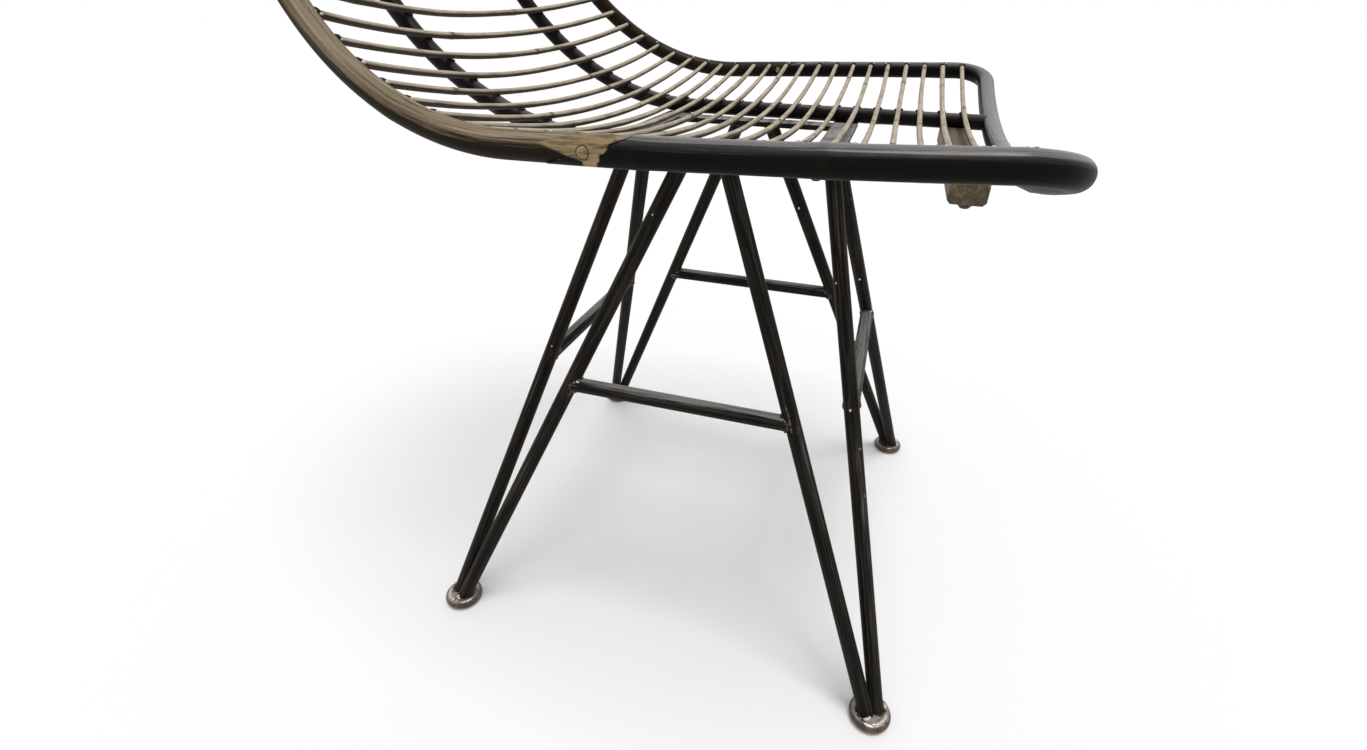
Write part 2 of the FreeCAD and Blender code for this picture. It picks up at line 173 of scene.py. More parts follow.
def section(run):
    """Section of the scoop at a run: rim point (y, z), outward direction and depth of the poles."""
    slope = min(max(run / SCOOP_RADIUS - RISE, -RISE), LEAN)
    straight = min(run, 0.0) + max(run - BEND_RUN, 0.0)
    y = SCOOP_AXIS[0] + SCOOP_RADIUS * math.sin(slope) + straight * math.cos(slope)
    z = SCOOP_AXIS[1] - SCOOP_RADIUS * math.cos(slope) + straight * math.sin(slope)
    if slope <= 0:
        return (y, z), (0.0, -1.0), z - POLE_LEVEL
    return (y, z), (math.sin(slope), -math.cos(slope)), POLE_DISH


def in_section(run, x, depth):
    """Point at x and at a depth below the rim's line, in the section at a run."""
    (y, z), (out_y, out_z) = section(run)[:2]
    return Vector((x, y + depth * out_y, z + depth * out_z))


POLE_DRAW_IN = (POLE_X - POLE_TOP_X) / (in_section(POLE_END_RUN, 0.0, POLE_DISH).z - POLE_LEVEL)


def pole_point(run):
    """Point on the centre line of the left pole."""
    point = in_section(run, 0.0, section(run)[2])
    point.x = POLE_X - POLE_DRAW_IN * (point.z - POLE_LEVEL)
    return point


def rim_dip(run, x):
    """Depth of the rim below its side line, which is more than zero in the front and top rails."""
    if run < CORNER_END_RUN:
        edge, pole, depth = CORNER_END_X, POLE_X, section(FRONT_RUN)[2]
    elif run > TOP_START_RUN:
        edge, pole, depth = TOP_START_X, POLE_TOP_X, POLE_DISH
    else:
        return 0.0
    return depth / (1 - (pole / edge) ** 2) * (1 - (x / edge) ** 2)


def rim_point(run, x):
    """Point on the rim's centre line."""
    return in_section(run, x, rim_dip(run, abs(x)))


def side_point(run, side=1):
    """Point on the rim's side, left (1) or right (-1)."""
    return rim_point(run, side * half_width(run))


def rail_point(share):
    """Point on the front rail and its corner, from the middle (0) to the left side (1)."""
    quarter = CORNER_RADIUS * (math.pi / 2 + CORNER_TURN)
    along = share * (CORNER_X + quarter)
    if along < CORNER_X:
        return rim_point(FRONT_RUN, along)
    turn = (along - CORNER_X) / CORNER_RADIUS
    return rim_point(CORNER_RUN - CORNER_RADIUS * math.cos(turn), CORNER_X + CORNER_RADIUS * math.sin(turn))


def top_point(share):
    """Point on the left half of the top arc, from the side (0) to the middle (1)."""
    turn = TAPER + share * (math.pi / 2 - TAPER)
    return rim_point(TOP_RUN + TOP_RADIUS * math.sin(turn), TOP_RADIUS * math.cos(turn))


def steps(first, last, count):
    """Evenly spaced values, both ends included."""
    return [first + (last - first) * number / count for number in range(count + 1)]


def mirrored(points):
    """The same points on the other side of the chair."""
    return [Vector((-point.x, point.y, point.z)) for point in points]


def splice(side):
    """Middle of a splice and the normal of its slanted cut."""
    centre = side_point(SPLICE_RUN)
    ahead = (side_point(SPLICE_RUN + MM) - side_point(SPLICE_RUN - MM)).normalized()
    up = (UP - ahead * UP.dot(ahead)).normalized()
    normal = ahead * math.sin(SPLICE_ANGLE) + up * math.cos(SPLICE_ANGLE)
    flip = Vector((side, 1, 1))
    return centre * flip, normal * flip


def rod_line(run, count=96):
    """Points of a rod's centre line, on one arc from rim to rim."""
    end_x = half_width(run) - ROD_SETBACK
    end_depth = rim_dip(run, half_width(run)) - ROD_SEAT
    rest_x = pole_point(run).x
    rest_depth = section(run)[2] - POLE_RADIUS - ROD_RADIUS - ROD_GAP
    sag = rest_depth - end_depth
    centre_depth = (rest_depth + end_depth) / 2 - (end_x ** 2 - rest_x ** 2) / (2 * sag)
    radius = math.hypot(end_x, end_depth - centre_depth)
    half_angle = math.asin(end_x / radius)
    points = []
    for angle in steps(-half_angle, half_angle, count):
        points.append(in_section(run, radius * math.sin(angle), centre_depth + radius * math.cos(angle)))
    return points


def rod_runs():
    """Runs of all the rods, from the front of the seat to the top of the back."""
    runs = [FIRST_ROD_RUN + number * SEAT_PITCH for number in range(SEAT_RODS)]
    for number in range(BACK_RODS):
        runs.append(runs[SEAT_RODS - 1] + (number + 1) * BACK_PITCH)
    return runs


def chance(seed, low=0.0, high=1.0):
    """A steady pseudo-random number for a seed."""
    value = math.sin(seed * 12.9898 + 4.1414) * 43758.5453
    return low + (high - low) * (value - math.floor(value))


class MeshParts:
    """Vertices and faces of one piece, gathered from several forms."""

    def __init__(self):
        self.points = []
        self.faces = []
        self.grain = []
        self.knot = []

    def add(self, points, faces, grain=None, knot=None):
        """Adds a form, with its grain coordinates and knot strengths."""
        first = len(self.points)
        self.points.extend(points)
        for face in faces:
            self.faces.append([first + corner for corner in face])
        self.grain.extend(grain or [Vector(point) for point in points])
        self.knot.extend(knot or [0.0] * len(points))

    def piece(self, name, material, slot, replaced=()):
        """Makes the piece, on the chair's one body."""
        mesh = bpy.data.meshes.new(name)
        mesh.from_pydata([tuple(point) for point in self.points], [], self.faces)
        mesh.validate()
        mesh.polygons.foreach_set("use_smooth", [True] * len(mesh.polygons))
        grain = mesh.attributes.new("grain", "FLOAT_VECTOR", "POINT")
        grain.data.foreach_set("vector", [value for point in self.grain for value in point])
        knot = mesh.attributes.new("knot", "FLOAT", "POINT")
        knot.data.foreach_set("value", self.knot)
        mesh.materials.append(material)
        made = bpy.data.objects.new(name, mesh)
        bpy.context.scene.collection.objects.link(made)
        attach(made, "root")
        if replaced:
            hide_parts(*replaced)


def directions(line, closed=False):
    """Direction of a line at each of its points."""
    found = []
    last = len(line) - 1
    for number in range(len(line)):
        if closed:
            before, after = line[number - 1], line[(number + 1) % len(line)]
        else:
            before, after = line[max(number - 1, 0)], line[min(number + 1, last)]
        found.append((after - before).normalized())
    return found


def strength(length, places, reach):
    """How near a length along a cane is to one of the places, from 0 to 1."""
    return max([math.exp(-((length - place) / reach) ** 2) for place in places], default=0.0)


def cane(parts, line, radius, sides, knots=(), swell=0.0, wander=0.0, seed=0.0, cuts=()):
    """Round cane along a line, with swollen knots, and with ends cut slanting where asked.

    A cut is (plane point, plane normal): what lies on the normal's side is pushed back to the plane.
    """
    tangents = directions(line)
    across = tangents[0].orthogonal().normalized()
    points, grain, strengths = [], [], []
    length = 0.0
    for number, (centre, tangent) in enumerate(zip(line, tangents)):
        if number:
            length += (centre - line[number - 1]).length
        across = (across - tangent * across.dot(tangent)).normalized()
        other = tangent.cross(across)
        drift = Vector((seed, length * 9.0, 3.7))
        shift = across * noise.noise(drift) + other * noise.noise(drift + Vector((5, 5, 5)))
        knot = strength(length, knots, KNOT_LENGTH)
        shoulder = strength(length, knots, KNOT_SHOULDER)
        fat = 1 + swell * (0.6 * knot + 0.6 * shoulder) + 0.6 * swell * noise.noise(drift * 1.7)
        for side in range(sides):
            angle = 2 * math.pi * side / sides
            spoke = across * math.cos(angle) + other * math.sin(angle)
            around = Vector((math.cos(angle), math.sin(angle), length * 14 + seed))
            flat = 1 + 0.25 * swell * noise.noise(around)
            place = centre + shift * wander + spoke * radius * fat * flat
            for origin, normal in cuts:
                over = (place - origin).dot(normal)
                if over > 0 and (place - origin).length < CUT_REACH:
                    place = place - tangent * (over / tangent.dot(normal))
            points.append(place)
            grain.append(Vector((radius * math.cos(angle), radius * math.sin(angle), length + seed)))
            strengths.append(knot)
    faces = []
    rings = len(line)
    for ring in range(rings - 1):
        for side in range(sides):
            here = ring * sides + side
            beside = ring * sides + (side + 1) % sides
            faces.append((here, beside, beside + sides, here + sides))
    faces.append(list(range(sides))[::-1])
    faces.append([(rings - 1) * sides + side for side in range(sides)])
    parts.add(points, faces, grain, strengths)


def bead(parts, line, radius, seed, rough=0.35, sides=10):
    """Lumpy closed ring of weld metal along a line."""
    tangents = directions(line, closed=True)
    across = tangents[0].orthogonal().normalized()
    points = []
    for number, (centre, tangent) in enumerate(zip(line, tangents)):
        across = (across - tangent * across.dot(tangent)).normalized()
        other = tangent.cross(across)
        ripple = 0.5 + 0.5 * math.cos(number * 1.9)
        thick = radius * (1 + rough * noise.noise(centre * 400 + Vector((seed, 0, 0))) + 0.12 * ripple)
        for side in range(sides):
            angle = 2 * math.pi * side / sides
            points.append(centre + (across * math.cos(angle) + other * math.sin(angle)) * thick)
    faces = []
    rings = len(line)
    for ring in range(rings):
        after = (ring + 1) % rings
        for side in range(sides):
            beside = (side + 1) % sides
            here, there = ring * sides, after * sides
            faces.append((here + side, here + beside, there + beside, there + side))
    parts.add(points, faces)


def lump(parts, centre, axes, seed, rough=0.25, rings=8, sides=12):
    """Uneven drop of glue, putty or weld metal, with three half axes."""
    points = []
    for ring in range(rings + 1):
        polar = math.pi * ring / rings
        wide = math.sin(polar)
        for side in range(sides):
            angle = 2 * math.pi * side / sides
            unit = Vector((wide * math.cos(angle), wide * math.sin(angle), math.cos(polar)))
            size = 1 + rough * noise.noise(unit * 1.6 + Vector((seed, seed * 0.7, 0)))
            points.append(centre + (axes[0] * unit.x + axes[1] * unit.y + axes[2] * unit.z) * size)
    faces = []
    for ring in range(rings):
        for side in range(sides):
            beside = (side + 1) % sides
            here = ring * sides
            after = here + sides
            faces.append((here + side, after + side, after + beside, here + beside))
    parts.add(points, faces)


class Wire:
    """A value in a material, with which sums are written as Python expressions."""

    def __init__(self, tree, socket):
        self.tree = tree
        self.socket = socket

    def sum(self, operation, *values):
        """Adds a Math node."""
        node = self.tree.nodes.new("ShaderNodeMath")
        node.operation = operation
        for entry, value in zip(node.inputs, values):
            if isinstance(value, Wire):
                self.tree.links.new(value.socket, entry)
            else:
                entry.default_value = value
        return Wire(self.tree, node.outputs[0])

    def __add__(self, other):
        return self.sum("ADD", self, other)

    def __radd__(self, other):
        return self.sum("ADD", other, self)

    def __sub__(self, other):
        return self.sum("SUBTRACT", self, other)

    def __rsub__(self, other):
        return self.sum("SUBTRACT", other, self)

    def __mul__(self, other):
        return self.sum("MULTIPLY", self, other)

    def __rmul__(self, other):
        return self.sum("MULTIPLY", other, self)

    def __pow__(self, other):
        return self.sum("POWER", self, other)

    def __abs__(self):
        return self.sum("ABSOLUTE", self)

    def least(self, other):
        """The smaller of two values."""
        return self.sum("MINIMUM", self, other)

    def most(self, other):
        """The larger of two values."""
        return self.sum("MAXIMUM", self, other)


class Finish:
    """A procedural material on one principled shader."""

    def __init__(self, name):
        self.material = bpy.data.materials.new(name)
        self.material.use_nodes = True
        self.tree = self.material.node_tree
        self.shader = self.tree.nodes["Principled BSDF"]

    def feed(self, entry, value):
        """Links a wire to a socket or sets its value."""
        if isinstance(value, Wire):
            self.tree.links.new(value.socket, entry)
        else:
            entry.default_value = value

    def node(self, kind, settings=None, inputs=None, output=0):
        """Adds a node: its settings first, then the values or links of its sockets."""
        made = self.tree.nodes.new(kind)
        for key, value in (settings or {}).items():
            if key == "stops":
                ramp = made.color_ramp.elements
                while len(ramp) < len(value):
                    ramp.new(0.5)
                for element, (place, colour) in zip(ramp, value):
                    element.position = place
                    element.color = (*colour, 1.0)
            else:
                setattr(made, key, value)
        for key, value in (inputs or {}).items():
            self.feed(made.inputs[key], value)
        return Wire(self.tree, made.outputs[output])

    def grain(self):
        """Coordinates that follow a cane: across, across and along."""
        return self.node("ShaderNodeAttribute", {"attribute_name": "grain"}, output=1)

    def knot(self):
        """Strength of the nearest knot of a cane."""
        return self.node("ShaderNodeAttribute", {"attribute_name": "knot"}, output=2)

    def place(self):
        """Place on the chair, in metres."""
        return self.node("ShaderNodeTexCoord", output=3)

    def axes(self, vector):
        """The three parts of a vector."""
        first = self.node("ShaderNodeSeparateXYZ", None, {0: vector})
        outputs = first.socket.node.outputs
        return first, Wire(self.tree, outputs[1]), Wire(self.tree, outputs[2])

    def upward(self):
        """How far the surface faces up, from -1 to 1."""
        normal = self.node("ShaderNodeNewGeometry", output=1)
        return self.axes(normal)[2]

    def stretch(self, vector, scale):
        """A vector scaled along each axis."""
        return self.node("ShaderNodeVectorMath", {"operation": "MULTIPLY"}, {0: vector, 1: scale})

    def distance(self, vector, point):
        """How far a place is from a fixed point."""
        inputs = {0: vector, 1: tuple(point)}
        return self.node("ShaderNodeVectorMath", {"operation": "DISTANCE"}, inputs, output=1)

    def cloud(self, vector, scale, detail=4.0, rough=0.55):
        """Soft noise from about 0.3 to 0.7."""
        inputs = {"Vector": vector, "Scale": scale, "Detail": detail, "Roughness": rough}
        return self.node("ShaderNodeTexNoise", {"noise_dimensions": "3D"}, inputs)

    def streaks(self, vector, pace, scale, detail=4.0, rough=0.55):
        """Soft noise that is drawn out along the vector's last axis, more so at a slower pace."""
        return self.cloud(self.stretch(vector, (1.0, 1.0, pace)), scale, detail, rough)

    def specks(self, vector, scale, size):
        """Small round marks: 1 inside, 0 outside."""
        inputs = {"Vector": vector, "Scale": scale}
        near = self.node("ShaderNodeTexVoronoi", {"feature": "F1"}, inputs)
        return self.smooth(near, size, size * 0.6)

    def smooth(self, value, low, high):
        """Smooth step from 0 at the low value to 1 at the high one."""
        inputs = {"Value": value, "From Min": low, "From Max": high}
        return self.node("ShaderNodeMapRange", {"interpolation_type": "SMOOTHSTEP"}, inputs)

    def mix(self, factor, first, second):
        """Colour between two others."""
        inputs = {0: factor, 6: self.colour(first), 7: self.colour(second)}
        return self.node("ShaderNodeMix", {"data_type": "RGBA"}, inputs, output=2)

    def colour(self, value):
        """A colour with its fourth part, or the wire as it is."""
        return value if isinstance(value, Wire) else (*value[:3], 1.0)

    def ramp(self, value, stops):
        """Colour from a row of stops."""
        return self.node("ShaderNodeValToRGB", {"stops": stops}, {0: value})

    def finish(self, base, roughness, height=None, depth=0.2 * MM, metallic=0.0, specular=0.5, coat=0.0):
        """Feeds the shader and gives back the material."""
        self.feed(self.shader.inputs["Base Color"], base)
        self.feed(self.shader.inputs["Roughness"], roughness)
        self.feed(self.shader.inputs["Metallic"], metallic)
        self.shader.inputs["Specular IOR Level"].default_value = specular
        self.feed(self.shader.inputs["Coat Weight"], coat)
        self.shader.inputs["Coat Roughness"].default_value = 0.25
        if height is not None:
            bump = self.node("ShaderNodeBump", None, {"Height": height, "Strength": 0.6, "Distance": depth})
            self.feed(self.shader.inputs["Normal"], bump)
        return self.material


def shade(colour, share):
    """A colour made darker or lighter."""
    return tuple(share * part for part in colour)


def tone(label, colour, words):
    """A colour property."""
    return bpy.props.FloatVectorProperty(
        name=label, description=words, subtype="COLOR", size=3, min=0.0, max=1.0, default=colour
    )


def measure(label, size, words):
    """A length property."""
    return bpy.props.FloatProperty(name=label, description=words, unit="LENGTH", min=0.0, default=size)


class ChairColours(bpy.types.PropertyGroup):
    """Colours of the chair's finishes."""

    lacquer: tone("Lacquer", (0.0045, 0.0042, 0.0036), "Black lacquer on cane and steel")
    # Worn lacquer also gives the painted highlight on the tops of canes and bars.
    lacquer_worn: tone("Worn lacquer", (0.062, 0.055, 0.048), "Lacquer rubbed to grey")
    # Dust, which also stands in for a painted highlight on what faces up.
    dust: tone("Dust", (0.2, 0.195, 0.19), "Pale film on what faces up")
    bar_olive: tone("Bar sheen", (0.019, 0.019, 0.0125), "Olive tint of the steel bars")
    bar_brown: tone("Bar brown", (0.03, 0.018, 0.011), "Brown tint of the steel bars")
    # Stain, darkened, also gives the painted shade under the back rim.
    stain: tone("Stain", (0.02, 0.013, 0.007), "Dark stain of the back rim")
    # Worn stain also gives the painted highlight on the back rim's upper side.
    stain_worn: tone("Worn stain", (0.26, 0.205, 0.135), "Stain rubbed back to the cane")
    cane: tone("Cane", (0.56, 0.49, 0.375), "Washed cane of the rods")
    # Dark cane also gives the painted shade under the rods.
    cane_dark: tone("Dark cane", (0.075, 0.056, 0.038), "Knots and undersides of the rods")
    filler: tone("Filler", (0.33, 0.245, 0.135), "Wood filler at the splices")
    putty: tone("Putty", (0.72, 0.69, 0.62), "Dried glue and putty")
    bronze: tone("Bronze", (0.095, 0.058, 0.034), "Patina of the feet")
    weld: tone("Weld", (0.7, 0.66, 0.52), "Bare weld metal")
    burnished: tone("Burnished steel", (0.36, 0.26, 0.17), "Steel ground bright at the joints")
    brace: tone("Brace", (0.075, 0.047, 0.017), "Brown stain of the wooden brace")


class ChairDetails(bpy.types.PropertyGroup):
    """Sizes of the chair's small details."""

    weld_size: measure("Weld", 1.1 * MM, "Radius of the weld beads")
    putty_size: measure("Putty", 1.3 * MM, "Radius of the putty at the rod ends")
    rod_wander: measure("Rod wander", 0.6 * MM, "How far a rod strays from its line")
    knot_swell: bpy.props.FloatProperty(
        name="Knot swell",
        description="How much the cane thickens at a knot",
        subtype="FACTOR",
        default=0.08,
        min=0.0,
        max=0.3,
    )


class ChairStage(bpy.types.PropertyGroup):
    """Floor, light and camera."""

    floor_colour: tone("Floor", (0.96, 0.96, 0.96), "Pale floor")
    key_light: bpy.props.FloatProperty(
        name="Key light", description="Strength of the soft lamp above", default=1.5, min=0.0
    )
    key_softness: bpy.props.FloatProperty(
        name="Softness",
        description="Width of the key light in the sky",
        subtype="ANGLE",
        default=0.4,
        min=0.0,
    )
    world_light: bpy.props.FloatProperty(
        name="World light", description="Strength of the light from all round", default=0.52, min=0.0
    )


def cane_black(colours):
    """Bent rattan in black lacquer: soft streaks, pale scratches and small chips."""
    finish = Finish("lacquered_cane")
    grain = finish.grain()
    streak = finish.streaks(grain, 0.035, 500.0, 5.0, 0.6)
    patch = finish.streaks(grain, 0.25, 60.0, 3.0)
    up = finish.upward()
    # Lighter towards the top: partly wear, partly a painted highlight.
    top = finish.smooth(up, 0.0, 0.95)
    wear_and_sheen = finish.smooth(streak * 0.5 + patch * 0.35 + top * 0.3, 0.48, 0.85)
    base = finish.mix(wear_and_sheen * 0.9, colours.lacquer, colours.lacquer_worn)
    # Dust and a painted highlight on what faces up.
    sheen_film = finish.smooth(up + (streak - 0.5) * 0.9, 0.7, 1.0)
    base = finish.mix(sheen_film * 0.55, base, colours.dust)
    chips = finish.specks(finish.stretch(grain, (1.0, 1.0, 0.5)), 90.0, 0.1)
    chips = chips * finish.smooth(patch, 0.5, 0.6)
    base = finish.mix(chips * 0.75, base, colours.stain_worn)
    knot = finish.knot()
    base = finish.mix(knot * 0.5, base, colours.lacquer_worn)
    roughness = 0.3 + streak * 0.22 + wear_and_sheen * 0.1
    height = streak * 0.5 + patch * 0.5 - chips * 0.5
    return finish.finish(base, roughness, height, 0.25 * MM, specular=0.07)


def rim_stain(finish, colours, streak, band, patch, x):
    """Brown stain, rubbed back along the grain on the right-hand side, with a painted highlight on its upper
    side and painted shade on its underside. Gives base, roughness and polish.
    """
    up = finish.upward()
    # Lighter towards the top: rubbed stain and a painted highlight.
    top = finish.smooth(up, -0.3, 0.95)
    wear_and_sheen = finish.smooth(band * 0.9 + streak * 1.0 + top * 0.5 + patch * 0.12, 1.16, 1.46)
    near = finish.smooth(x * -1.0, -0.15, 0.15) * 0.88 + 0.04
    base = finish.mix(wear_and_sheen * near, colours.stain, colours.stain_worn)
    fine = finish.streaks(finish.grain(), 0.012, 1100.0, 4.0, 0.6)
    # Pale grain streaks on the upper side only: a painted highlight along real grain.
    pale = finish.smooth(fine + top * 0.1, 0.6, 0.68) * near * top * 0.8
    base = finish.mix(pale, base, shade(colours.stain_worn, 1.5))
    dark = finish.smooth(streak, 0.54, 0.62) * 0.85
    base = finish.mix(dark, base, colours.stain)
    # Darker towards the underside: painted shade.
    under = finish.smooth(up + (streak - 0.5) * 0.5, 0.3, -0.3)
    base = finish.mix(under * 0.85, base, shade(colours.stain, 0.5))
    return base, 0.36 + streak * 0.25, finish.smooth(up, 0.3, 0.75) * 0.12


def rim_lacquer(finish, colours, streak, band, patch):
    """Black lacquer with dust and a painted highlight on its top, rust and chips. Gives base, roughness and
    polish.
    """
    up = finish.upward()
    # Lighter towards the top: wear and a painted highlight.
    top = finish.smooth(up, -0.15, 0.9)
    wear_and_sheen = finish.smooth(streak * 0.5 + band * 0.3 + top * 0.36, 0.54, 0.9)
    base = finish.mix(wear_and_sheen, colours.lacquer, colours.lacquer_worn)
    # Dust and a painted highlight band on what faces up.
    sheen_film = finish.smooth(up + (streak - 0.5) * 1.6 + (band - 0.5) * 1.2, 0.6, 0.9)
    base = finish.mix(sheen_film * 0.75, base, colours.dust)
    rust = finish.smooth(patch * 0.55 + streak * 0.45, 0.6, 0.66)
    base = finish.mix(rust * 0.7, base, colours.bar_brown)
    chips = finish.specks(finish.stretch(finish.grain(), (1.0, 1.0, 0.45)), 70.0, 0.085)
    chips = chips * finish.smooth(patch, 0.47, 0.56)
    base = finish.mix(chips * 0.8, base, colours.stain_worn)
    return base, 0.3 + streak * 0.24, finish.smooth(up, 0.3, 0.75) * 0.45


def splice_masks(finish, x, y, z):
    """Where the filler lies over a splice, and the groove round its dowel."""
    centre = splice(1)[0]
    fray = (finish.streaks(finish.grain(), 0.45, 330.0, 3.0) - 0.5) * (6 * MM)
    along = (centre.y - y) + fray
    rise = z - centre.z
    wedge = (along + 25.0 * MM) * 0.28 - abs(rise - 2.4 * MM)
    block = along + 2.6 * MM + rise * 0.1
    right = 10.6 * MM + rise * 0.8 - along
    outside = abs(x) - (centre.x + 0.3 * MM)
    filled = finish.smooth(wedge.most(block).least(right).least(outside), 0.0, 1.2 * MM)
    ring = ((y - centre.y) ** 2.0 + rise ** 2.0) ** 0.5
    groove = finish.smooth(abs(ring - (DOWEL_RADIUS + 0.1 * MM)), 0.45 * MM, 0.1 * MM)
    return filled, groove * finish.smooth(outside, 0.0, MM)


def cane_spliced(colours, name, stained):
    """Rim cane: stained or lacquered, with tan filler smeared over the outside of the splices."""
    finish = Finish(name)
    grain = finish.grain()
    streak = finish.streaks(grain, 0.02, 820.0, 6.0, 0.7)
    band = finish.streaks(grain, 0.012, 300.0, 3.0, 0.5)
    patch = finish.streaks(grain, 0.3, 45.0, 3.0)
    x, y, z = finish.axes(finish.place())
    if stained:
        base, roughness, polish = rim_stain(finish, colours, streak, band, patch, x)
    else:
        base, roughness, polish = rim_lacquer(finish, colours, streak, band, patch)
    knot = finish.knot()
    base = finish.mix(knot * 0.35, base, colours.stain)
    filled, groove = splice_masks(finish, x, y, z)
    rub = finish.smooth(finish.streaks(grain, 0.15, 500.0, 4.0, 0.6), 0.4, 0.66)
    base = finish.mix(filled, base, finish.mix(rub, colours.filler, shade(colours.filler, 0.42)))
    base = finish.mix(groove * 0.85, base, colours.stain)
    height = streak * 0.5 + band * 0.4 + filled * 0.9 - groove * 1.5 + knot * 0.6
    roughness = roughness + filled * 0.2
    return finish.finish(base, roughness, height, 0.3 * MM, specular=0.05, coat=polish * (1 - filled))


def cane_rod(colours):
    """Thin washed cane: pale top, painted shade on the underside, long pores and dark knots."""
    finish = Finish("washed_cane")
    grain = finish.grain()
    pores = finish.streaks(grain, 0.025, 1300.0, 5.0, 0.65)
    blotch = finish.streaks(grain, 0.35, 120.0, 3.0, 0.6)
    up = finish.upward()
    # Darker towards the underside: painted shade.
    under = finish.smooth(up * -1.0 + blotch * 0.5, -0.3, 0.35)
    dark = finish.smooth(pores, 0.49, 0.64) * 0.6
    base = finish.mix(dark, colours.cane, shade(colours.cane_dark, 1.8))
    dirt = finish.smooth(blotch, 0.42, 0.68) * 0.45
    base = finish.mix(dirt, base, shade(colours.cane, 0.42))
    base = finish.mix(under * 0.95, base, shade(colours.cane_dark, 0.4))
    knot = finish.knot()
    base = finish.mix(knot * 0.9, base, shade(colours.cane_dark, 0.7))
    roughness = 0.45 + pores * 0.3
    height = pores * 0.6 + blotch * 0.3 - knot * 0.4
    return finish.finish(base, roughness, height, 0.15 * MM, specular=0.08)


def bar_steel(colours, name, low, high, joints, brown=0.0):
    """Lacquered round bar from low to high: streaks along it, chips, and bright patches at its joints.

    Brown is the share of brown in the lacquer, from less (below 0) to more (above 0).
    """
    finish = Finish(name)
    place = finish.place()
    ahead = (high - low).normalized()
    turn = ahead.rotation_difference(UP).to_euler()
    turned = {"Vector": place, "Rotation": tuple(turn)}
    along = finish.node("ShaderNodeVectorRotate", {"rotation_type": "EULER_XYZ"}, turned)
    streak = finish.streaks(along, 0.03, 600.0, 6.0, 0.65)
    broad = finish.streaks(along, 0.06, 220.0, 3.0, 0.5)
    patch = finish.cloud(place, 34.0, 3.0, 0.6)
    tint = finish.mix(finish.smooth(patch + brown, 0.35, 0.75), colours.bar_olive, colours.bar_brown)
    base = finish.mix(finish.smooth(streak, 0.42, 0.62), colours.lacquer, tint)
    # The upward share lightens the wear: partly a painted highlight.
    side = finish.smooth(finish.upward(), 0.0, 0.6)
    wear_and_sheen = finish.smooth(streak * 0.55 + broad * 0.45 + side * 0.12, 0.56, 0.78)
    base = finish.mix(wear_and_sheen * 0.8, base, colours.lacquer_worn)
    # Dust and a painted highlight along the bar's upper side.
    sheen_film = finish.smooth(finish.upward() + (streak - 0.5) * 1.6 + (broad - 0.5) * 0.6, 0.6, 0.95)
    base = finish.mix(sheen_film * 0.95, base, shade(colours.dust, 1.2))
    chips = finish.specks(finish.stretch(place, (1.0, 1.0, 0.7)), 75.0, 0.085)
    chips = chips * finish.smooth(patch, 0.52, 0.58)
    base = finish.mix(chips, base, colours.putty)
    ragged = (finish.streaks(along, 0.18, 330.0, 4.0, 0.65) - 0.5) * (46 * MM)
    bright = [finish.smooth(finish.distance(place, joint) - ragged, 10.0 * MM, 6.0 * MM) for joint in joints]
    bright = reduce(Wire.most, bright)
    glow = finish.mix(finish.smooth(broad, 0.5, 0.68), colours.bar_brown, colours.burnished)
    base = finish.mix(bright * finish.smooth(streak, 0.4, 0.56) * 0.75, base, glow)
    roughness = 0.34 + streak * 0.26
    height = streak * 0.5 + broad * 0.4 - chips * 0.6
    return finish.finish(base, roughness, height, 0.22 * MM, bright * 0.4, specular=0.07)


def plate_steel(colours):
    """Lacquered flat bar with a dusty grey on its upper face, partly a painted highlight."""
    finish = Finish("lacquered_flat_bar")
    place = finish.place()
    up = finish.smooth(finish.upward(), 0.5, 0.9)
    brushed = finish.cloud(finish.stretch(place, (0.15, 1.0, 1.0)), 500.0, 5.0, 0.65)
    patch = finish.cloud(place, 60.0, 4.0, 0.6)
    wear_and_sheen = finish.smooth(patch * 0.6 + brushed * 0.4, 0.36, 0.6)
    base = finish.mix(finish.smooth(brushed, 0.4, 0.65), colours.lacquer, colours.bar_olive)
    # Grey on the upper face: dust and a painted highlight.
    grey = finish.mix(wear_and_sheen, (0.19, 0.172, 0.17), (0.44, 0.4, 0.395))
    base = finish.mix(up * 0.9, base, grey)
    roughness = 0.4 + brushed * 0.25 + up * 0.1
    return finish.finish(base, roughness, brushed * 0.6 + patch * 0.5, 0.2 * MM, specular=0.08)


def foot_bronze(colours):
    """Brown patina with brushed rings, bare grey metal on the flat top round the welds."""
    finish = Finish("bronze_patina")
    place = finish.place()
    cloud = finish.cloud(place, 150.0, 4.0, 0.6)
    fine = finish.cloud(finish.stretch(place, (1.0, 1.0, 3.0)), 700.0, 4.0, 0.6)
    up = finish.smooth(finish.upward(), 0.72, 0.97)
    dark = shade(colours.bronze, 0.28)
    base = finish.mix(finish.smooth(cloud, 0.38, 0.62), dark, colours.bronze)
    rub = finish.smooth(fine, 0.5, 0.7) * 0.5
    base = finish.mix(rub, base, (0.26, 0.18, 0.12))
    bare = up * finish.smooth(cloud * 0.7 + fine * 0.3, 0.36, 0.56)
    base = finish.mix(bare * 0.9, base, (0.33, 0.3, 0.31))
    roughness = 0.24 + fine * 0.2
    return finish.finish(base, roughness, cloud * 0.8 + fine * 0.3, 0.4 * MM, 0.55 + bare * 0.3, coat=0.4)


